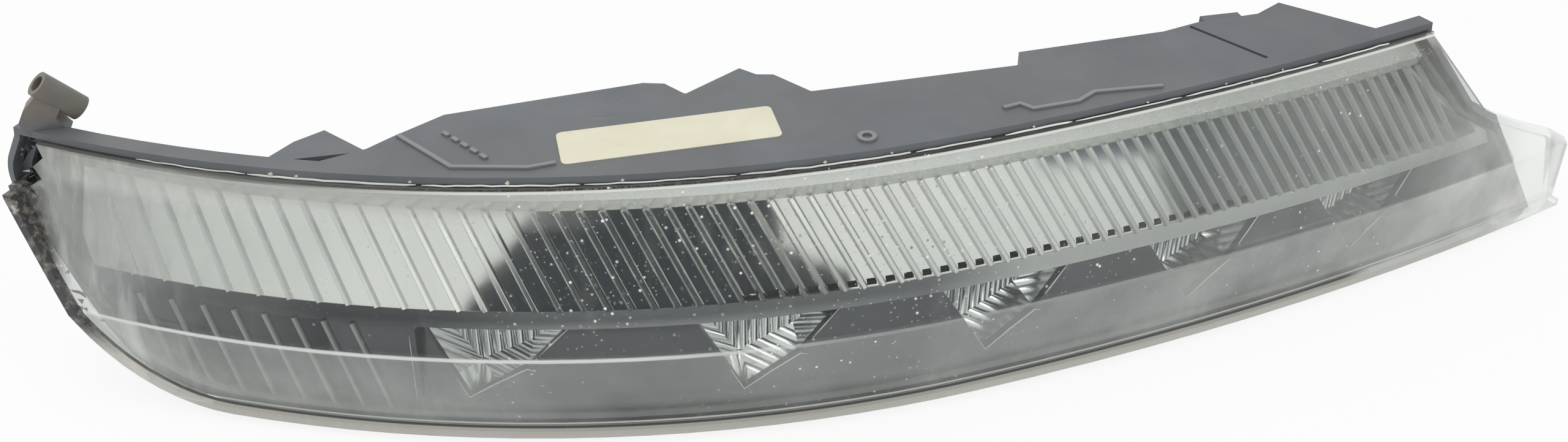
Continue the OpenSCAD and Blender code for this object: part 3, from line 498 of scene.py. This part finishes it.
dress(moulded("ribbon_film", (0.5, 0.24, 0.05), (0.42, 0.19, 0.04), 0.3), "link_ribbon")
dress(moulded("cover_plastic", (0.05, 0.052, 0.055), (0.035, 0.036, 0.04), 0.45), "rear_cover", "vent_cap")
dress(moulded("gasket_rubber", (0.02, 0.02, 0.02), (0.03, 0.03, 0.03), 0.7), "cover_gasket")
dress(metal("pin_brass", (0.75, 0.62, 0.32), (0.6, 0.5, 0.28), 0.25, 300.0), "connector_pins")
dress(moulded("vent_fabric", (0.8, 0.8, 0.78), (0.7, 0.7, 0.68), 0.8, 1500.0, 0.5), "vent_membrane")


def piece(name, verts, faces, mat, smooth=False):
    """A piece of the scene's own that rides with the lamp."""
    mesh = bpy.data.meshes.new(name)
    mesh.from_pydata([tuple(v) for v in verts], [], faces)
    mesh.materials.append(mat)
    for poly in mesh.polygons:
        poly.use_smooth = smooth
    obj = bpy.data.objects.new(name, mesh)
    scene.collection.objects.link(obj)
    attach(obj, "root")


# Label: where its sides lie, the radius of its corners, how far it stands proud and how far it sinks in
LABEL_X, LABEL_Y, LABEL_R = (-87.0, -31.0), (-16.5, -1.0), 1.6
LABEL_PROUD, LABEL_SUNK = 0.18, 0.05
# Steps of a rounded corner
CORNER_STEPS = 4


def label():
    """Bare cream plate with rounded corners on the labelled face."""
    (x0, x1), (y0, y1), r = LABEL_X, LABEL_Y, LABEL_R
    ring = []
    corners = ((x1 - r, y1 - r, 0), (x0 + r, y1 - r, 90), (x0 + r, y0 + r, 180), (x1 - r, y0 + r, 270))
    for cx, cy, a0 in corners:
        for k in range(CORNER_STEPS + 1):
            a = math.radians(a0 + 90 * k / CORNER_STEPS)
            ring.append((cx + r * math.cos(a), cy + r * math.sin(a)))
    verts = [Vector((x, y, FACE_Z + TILT * x + h)) * MM for h in (-LABEL_SUNK, LABEL_PROUD) for x, y in ring]
    m = len(ring)
    sides = [(k, (k + 1) % m, m + (k + 1) % m, m + k) for k in range(m)]
    piece("bare_label", verts, [tuple(range(m, 2 * m))] + sides, label_material())


# Sides of a strand's tube, and the share of its radius that its ends keep
STRAND_SIDES, STRAND_END = 5, 0.4


def strand(verts, faces, points, radius):
    """Adds a thin tube through the points, with narrow ends."""
    base = len(verts)
    last = len(points) - 1
    for i, p in enumerate(points):
        d = (points[min(i + 1, last)] - points[max(i - 1, 0)]).normalized()
        u = d.cross(Vector((0, 0, 1))).normalized()
        v = d.cross(u)
        r = radius * (STRAND_END if i in (0, last) else 1.0)
        for k in range(STRAND_SIDES):
            a = 2 * math.pi * k / STRAND_SIDES
            verts.append(p + (u * math.cos(a) + v * math.sin(a)) * r)
    for i in range(last):
        for k in range(STRAND_SIDES):
            a = base + i * STRAND_SIDES + k
            b = base + i * STRAND_SIDES + (k + 1) % STRAND_SIDES
            faces.append((a, b, b + STRAND_SIDES, a + STRAND_SIDES))


def blob(verts, faces, middle, size, rng):
    """Adds a rough eight-faced lump."""
    base = len(verts)
    for d in ((1, 0, 0), (-1, 0, 0), (0, 1, 0), (0, -1, 0), (0, 0, 1), (0, 0, -1)):
        verts.append(middle + Vector(d) * size * rng.uniform(0.6, 1.2))
    for i, j, k in ((0, 2, 4), (2, 1, 4), (1, 3, 4), (3, 0, 4), (2, 0, 5), (1, 2, 5), (3, 1, 5), (0, 3, 5)):
        faces.append((base + i, base + j, base + k))


# Seam between lens and lip: arc lengths of its start, of the last strand's latest start and of its end,
# then how far it lies behind the crease and its height at x = 0
SEAM_START, LAST_START, SEAM_END = -222.0, 132.0, 143.0
SEAM_N, SEAM_Z = 13.1, 72.9

# Strands of glue: distance between their points, shortest and longest run, least and most radius, and the
# gaps between them
STRAND_STEP, STRAND_RUN, STRAND_R, STRAND_GAPS = 3.0, (9, 46), (0.22, 0.36), (0.5, 1.0, 1.5, 4.0)

# Crumbs of glue on the seam: arc length and size of each
CRUMBS = ((-183, 0.9), (-176, 0.7), (-146, 0.6), (-121, 0.8), (-92, 0.5), (-40, 0.6), (-22, 0.5), (18, 0.5),
          (52, 0.6), (77, 0.45), (96, 0.5))


def seam_glue():
    """Broken bright strand of old glue along the seam, and cream crumbs of it."""
    rng = random.Random(5)
    verts, faces = [], []
    s = SEAM_START
    while s < LAST_START:
        run = min(rng.uniform(*STRAND_RUN), SEAM_END - s)
        points = []
        for k in range(int(run / STRAND_STEP) + 2):
            a = s + min(STRAND_STEP * k, run)
            n = SEAM_N + rng.uniform(-0.12, 0.12)
            points.append(at(a, n, SEAM_Z + TILT * plan(a, 0)[0] + rng.uniform(-0.1, 0.15)))
        strand(verts, faces, points, rng.uniform(*STRAND_R) * MM)
        s += run + rng.choice(STRAND_GAPS)
    glue = moulded("old_glue", (0.82, 0.83, 0.79), (0.55, 0.56, 0.52), 0.2, 700.0, 0.3)
    piece("glue_strand", verts, faces, glue, True)
    verts, faces = [], []
    for a, size in CRUMBS:
        blob(verts, faces, at(a, SEAM_N + 0.5, SEAM_Z + 0.5 + TILT * plan(a, 0)[0]), size * MM, rng)
    cream = moulded("glue_cream", (0.66, 0.62, 0.5), (0.5, 0.46, 0.36), 0.5)
    piece("glue_crumbs", verts, faces, cream)


# Bright edge of a window, over and under the hook at the crease: places along from its tip, and heights
UPPER_EDGE = ((28.3, 29.3), (22.5, 24.0), (18.9, 20.7), (19.9, 19.9))
LOWER_EDGE = ((17.4, 16.6), (15.6, 17.1), (7.5, 13.2), (0.0, 9.1), (-3.3, 14.5))

# Radius of a bright edge and how far its middle stands proud, for the windows and for the recess
EDGE_R, EDGE_PROUD = 0.27, 0.16
RECESS_EDGE_R, RECESS_EDGE_PROUD = 0.2, 0.05


def window_edges():
    """Bright edges of the five windows, with a hook under the crease of the lens, and of the recess."""
    verts, faces = [], []
    for k in range(WINDOWS):
        s = FIRST_WINDOW + WINDOW_RUN * (1 - WINDOW_EASE ** k) / (1 - WINDOW_EASE ** (WINDOWS - 1))
        r = R_OUT if s < 0 else R_IN
        for line in (UPPER_EDGE, LOWER_EDGE):
            points = []
            for x, z in line:
                n = PANEL_N + (z - PANEL_Z) * RECESS_LEAN - EDGE_PROUD
                points.append(at(s + r * math.atan(x / (r - n)), n, z))
            strand(verts, faces, points, EDGE_R * MM)
    lean = (BAND_FOOT_N - PANEL_N) / (LEDGE_Z - PANEL_Z)
    recess = []
    for z in range(7, 30, 3):
        recess.append(at(RECESS_S, PANEL_N + (z - PANEL_Z) * lean - RECESS_EDGE_PROUD, z))
    strand(verts, faces, recess, RECESS_EDGE_R * MM)
    bright = metal("bright_edge", (0.95, 0.95, 0.93), (0.85, 0.86, 0.84), 0.35)
    piece("window_edges", verts, faces, bright, True)


# Broken corner: arc length of its edge, and the height under which the edge runs back along the lamp
BREAK_S, BREAK_Z, BREAK_SLOPE = -262.0, 45.0, 0.75


def shards(name, mat, count, low, high, size, rng):
    """Small torn pieces along the broken corner, from height low to high."""
    verts, faces = [], []
    for i in range(count):
        z = low + (high - low) * (i + rng.random()) / count
        edge = BREAK_S + max(0.0, BREAK_Z - z) * BREAK_SLOPE
        p = at(edge + rng.uniform(0.5, 4.5), face_n(z) + rng.uniform(0.8, 4.0), z)
        tip = Vector((rng.uniform(-0.5, 1.0), rng.uniform(-1.0, 0.6), rng.uniform(-1.0, 1.0))) * size * MM
        side = Vector((rng.uniform(-0.6, 0.6), rng.uniform(-0.6, 0.6), rng.uniform(-1, 1))) * size / 1.6 * MM
        ridge = tip * 0.4 + Vector((0.6, 0.7, 0.0)) * MM
        base = len(verts)
        verts.extend((p - side, p + side, p + tip, p + ridge))
        for a, b, c in ((0, 1, 2), (0, 3, 1), (1, 3, 2), (2, 3, 0)):
            faces.append((base + a, base + b, base + c))
    piece(name, verts, faces, mat)


label()
seam_glue()
window_edges()
shard_draws = random.Random(11)
splinter = moulded("splinter", (0.62, 0.64, 0.62), (0.45, 0.46, 0.45), 0.25)
shards("torn_sealant", sealant, count=26, low=20, high=70, size=3.2, rng=shard_draws)
shards("lens_splinters", splinter, count=16, low=24, high=68, size=1.7, rng=shard_draws)


# Studio, in metres: floor, world, lights, and the dark cards that the bright band mirrors. First come half
# the floor's width, the place of the cards in front of the lamp, and what the lights point at
FLOOR_HALF, CARD_Y, LIT_POINT = 6.0, -0.6, Vector((0, 0, 0.04))

# Share of the floor's glow in what is seen of it
FLOOR_GLOW = 0.87


def sheet(name, points, mat):
    """A flat sheet of the studio, which isn't part of the lamp."""
    mesh = bpy.data.meshes.new(name)
    mesh.from_pydata(points, [], [tuple(range(len(points)))])
    mesh.materials.append(mat)
    obj = bpy.data.objects.new(name, mesh)
    scene.collection.objects.link(obj)
    return obj


def seen_direct(nodes, links):
    """1 for camera, glossy and transmission rays."""
    path = nodes.new("ShaderNodeLightPath")
    value = path.outputs["Is Camera Ray"]
    for name in ("Is Glossy Ray", "Is Transmission Ray"):
        top = nodes.new("ShaderNodeMath")
        top.operation = "MAXIMUM"
        links.new(value, top.inputs[0])
        links.new(path.outputs[name], top.inputs[1])
        value = top.outputs[0]
    return value


def floor():
    """Pale floor that shows nearly white and keeps the lamp's shadow."""
    t = Tree("floor_pale")
    plain = t.plain("ShaderNodeBsdfDiffuse", (0.9, 0.9, 0.9))
    glow = t.plain("ShaderNodeEmission", (1.0, 1.0, 1.0))
    share = t.times(seen_direct(t.nt.nodes, t.nt.links), FLOOR_GLOW)
    mat = t.shade(t.blend(share, plain.outputs[0], glow.outputs[0]))
    h = FLOOR_HALF
    sheet("floor", [(-h, -h, 0), (h, -h, 0), (h, h, 0), (-h, h, 0)], mat)


def card(name, color, outline):
    """A dark card in front of the lamp that only reflections show. Its outline is in x and z."""
    t = Tree(name)
    mat = t.shade(t.plain("ShaderNodeEmission", color).outputs[0])
    obj = sheet(name, [(x, CARD_Y, z) for x, z in outline], mat)
    obj.visible_camera = False
    obj.visible_diffuse = False
    obj.visible_shadow = False
    obj.visible_transmission = False


def studio_world():
    """Soft light from all round, and plain white where it is seen."""
    world = bpy.data.worlds.new("studio")
    scene.world = world
    world.use_nodes = True
    nodes, links = world.node_tree.nodes, world.node_tree.links
    white = nodes["Background"]
    white.inputs["Color"].default_value = (1, 1, 1, 1)
    white.inputs["Strength"].default_value = 1.0
    soft = nodes.new("ShaderNodeBackground")
    soft.inputs["Color"].default_value = (0.97, 0.99, 1.0, 1)
    soft.inputs["Strength"].default_value = 0.56
    both = nodes.new("ShaderNodeMixShader")
    links.new(seen_direct(nodes, links), both.inputs[0])
    links.new(soft.outputs[0], both.inputs[1])
    links.new(white.outputs[0], both.inputs[2])
    links.new(both.outputs[0], nodes["World Output"].inputs["Surface"])


def area(name, place, size, power, color):
    """A soft rectangular light."""
    data = bpy.data.lights.new(name, "AREA")
    data.shape = "RECTANGLE"
    data.size, data.size_y = size
    data.energy = power
    data.color = color
    obj = bpy.data.objects.new(name, data)
    obj.location = place
    obj.rotation_euler = (LIT_POINT - Vector(place)).to_track_quat("-Z", "Y").to_euler()
    scene.collection.objects.link(obj)


floor()
card("dark_card", (0.012, 0.02, 0.03),
     ((-0.46, 0.08), (0.11, 0.08), (0.12, 0.125), (0.03, 0.15), (-0.01, 0.24), (-0.28, 0.24), (-0.33, 0.2),
      (-0.39, 0.16), (-0.45, 0.13)))
card("side_card", (0.07, 0.1, 0.14), ((0.42, 0.168), (0.62, 0.155), (0.64, 0.24), (0.42, 0.24)))
card("far_card", (0.09, 0.11, 0.115), ((0.6, 0.0), (2.2, 0.0), (2.2, 0.4), (0.56, 0.4)))
studio_world()
area("key", (-0.5, 0.1, 1.3), (1.6, 1.2), 9.0, (1.0, 0.99, 0.97))
area("fill", (0.9, -0.9, 0.9), (0.9, 0.6), 4.0, (1.0, 1.0, 1.0))

# Camera at the photograph's angle: its place in metres, the way it looks and the way to its right
CAMERA_PLACE = (-0.1025, -0.3269, 0.2673)
CAMERA_FORWARD, CAMERA_RIGHT = (0.1854, 0.8030, -0.5664), (0.9744, -0.2250, 0.0)


def photo_camera():
    """The camera that renders the photograph's view."""
    data = bpy.data.cameras.new("camera")
    data.sensor_width = 36.0
    data.lens = 33.75
    data.clip_start = 0.01
    camera = bpy.data.objects.new("camera", data)
    forward = Vector(CAMERA_FORWARD).normalized()
    right = Vector(CAMERA_RIGHT).normalized()
    up = right.cross(forward).normalized()
    turn = Matrix((right, up, -forward)).transposed()
    camera.matrix_world = Matrix.Translation(CAMERA_PLACE) @ turn.to_4x4()
    scene.collection.objects.link(camera)
    scene.camera = camera


photo_camera()
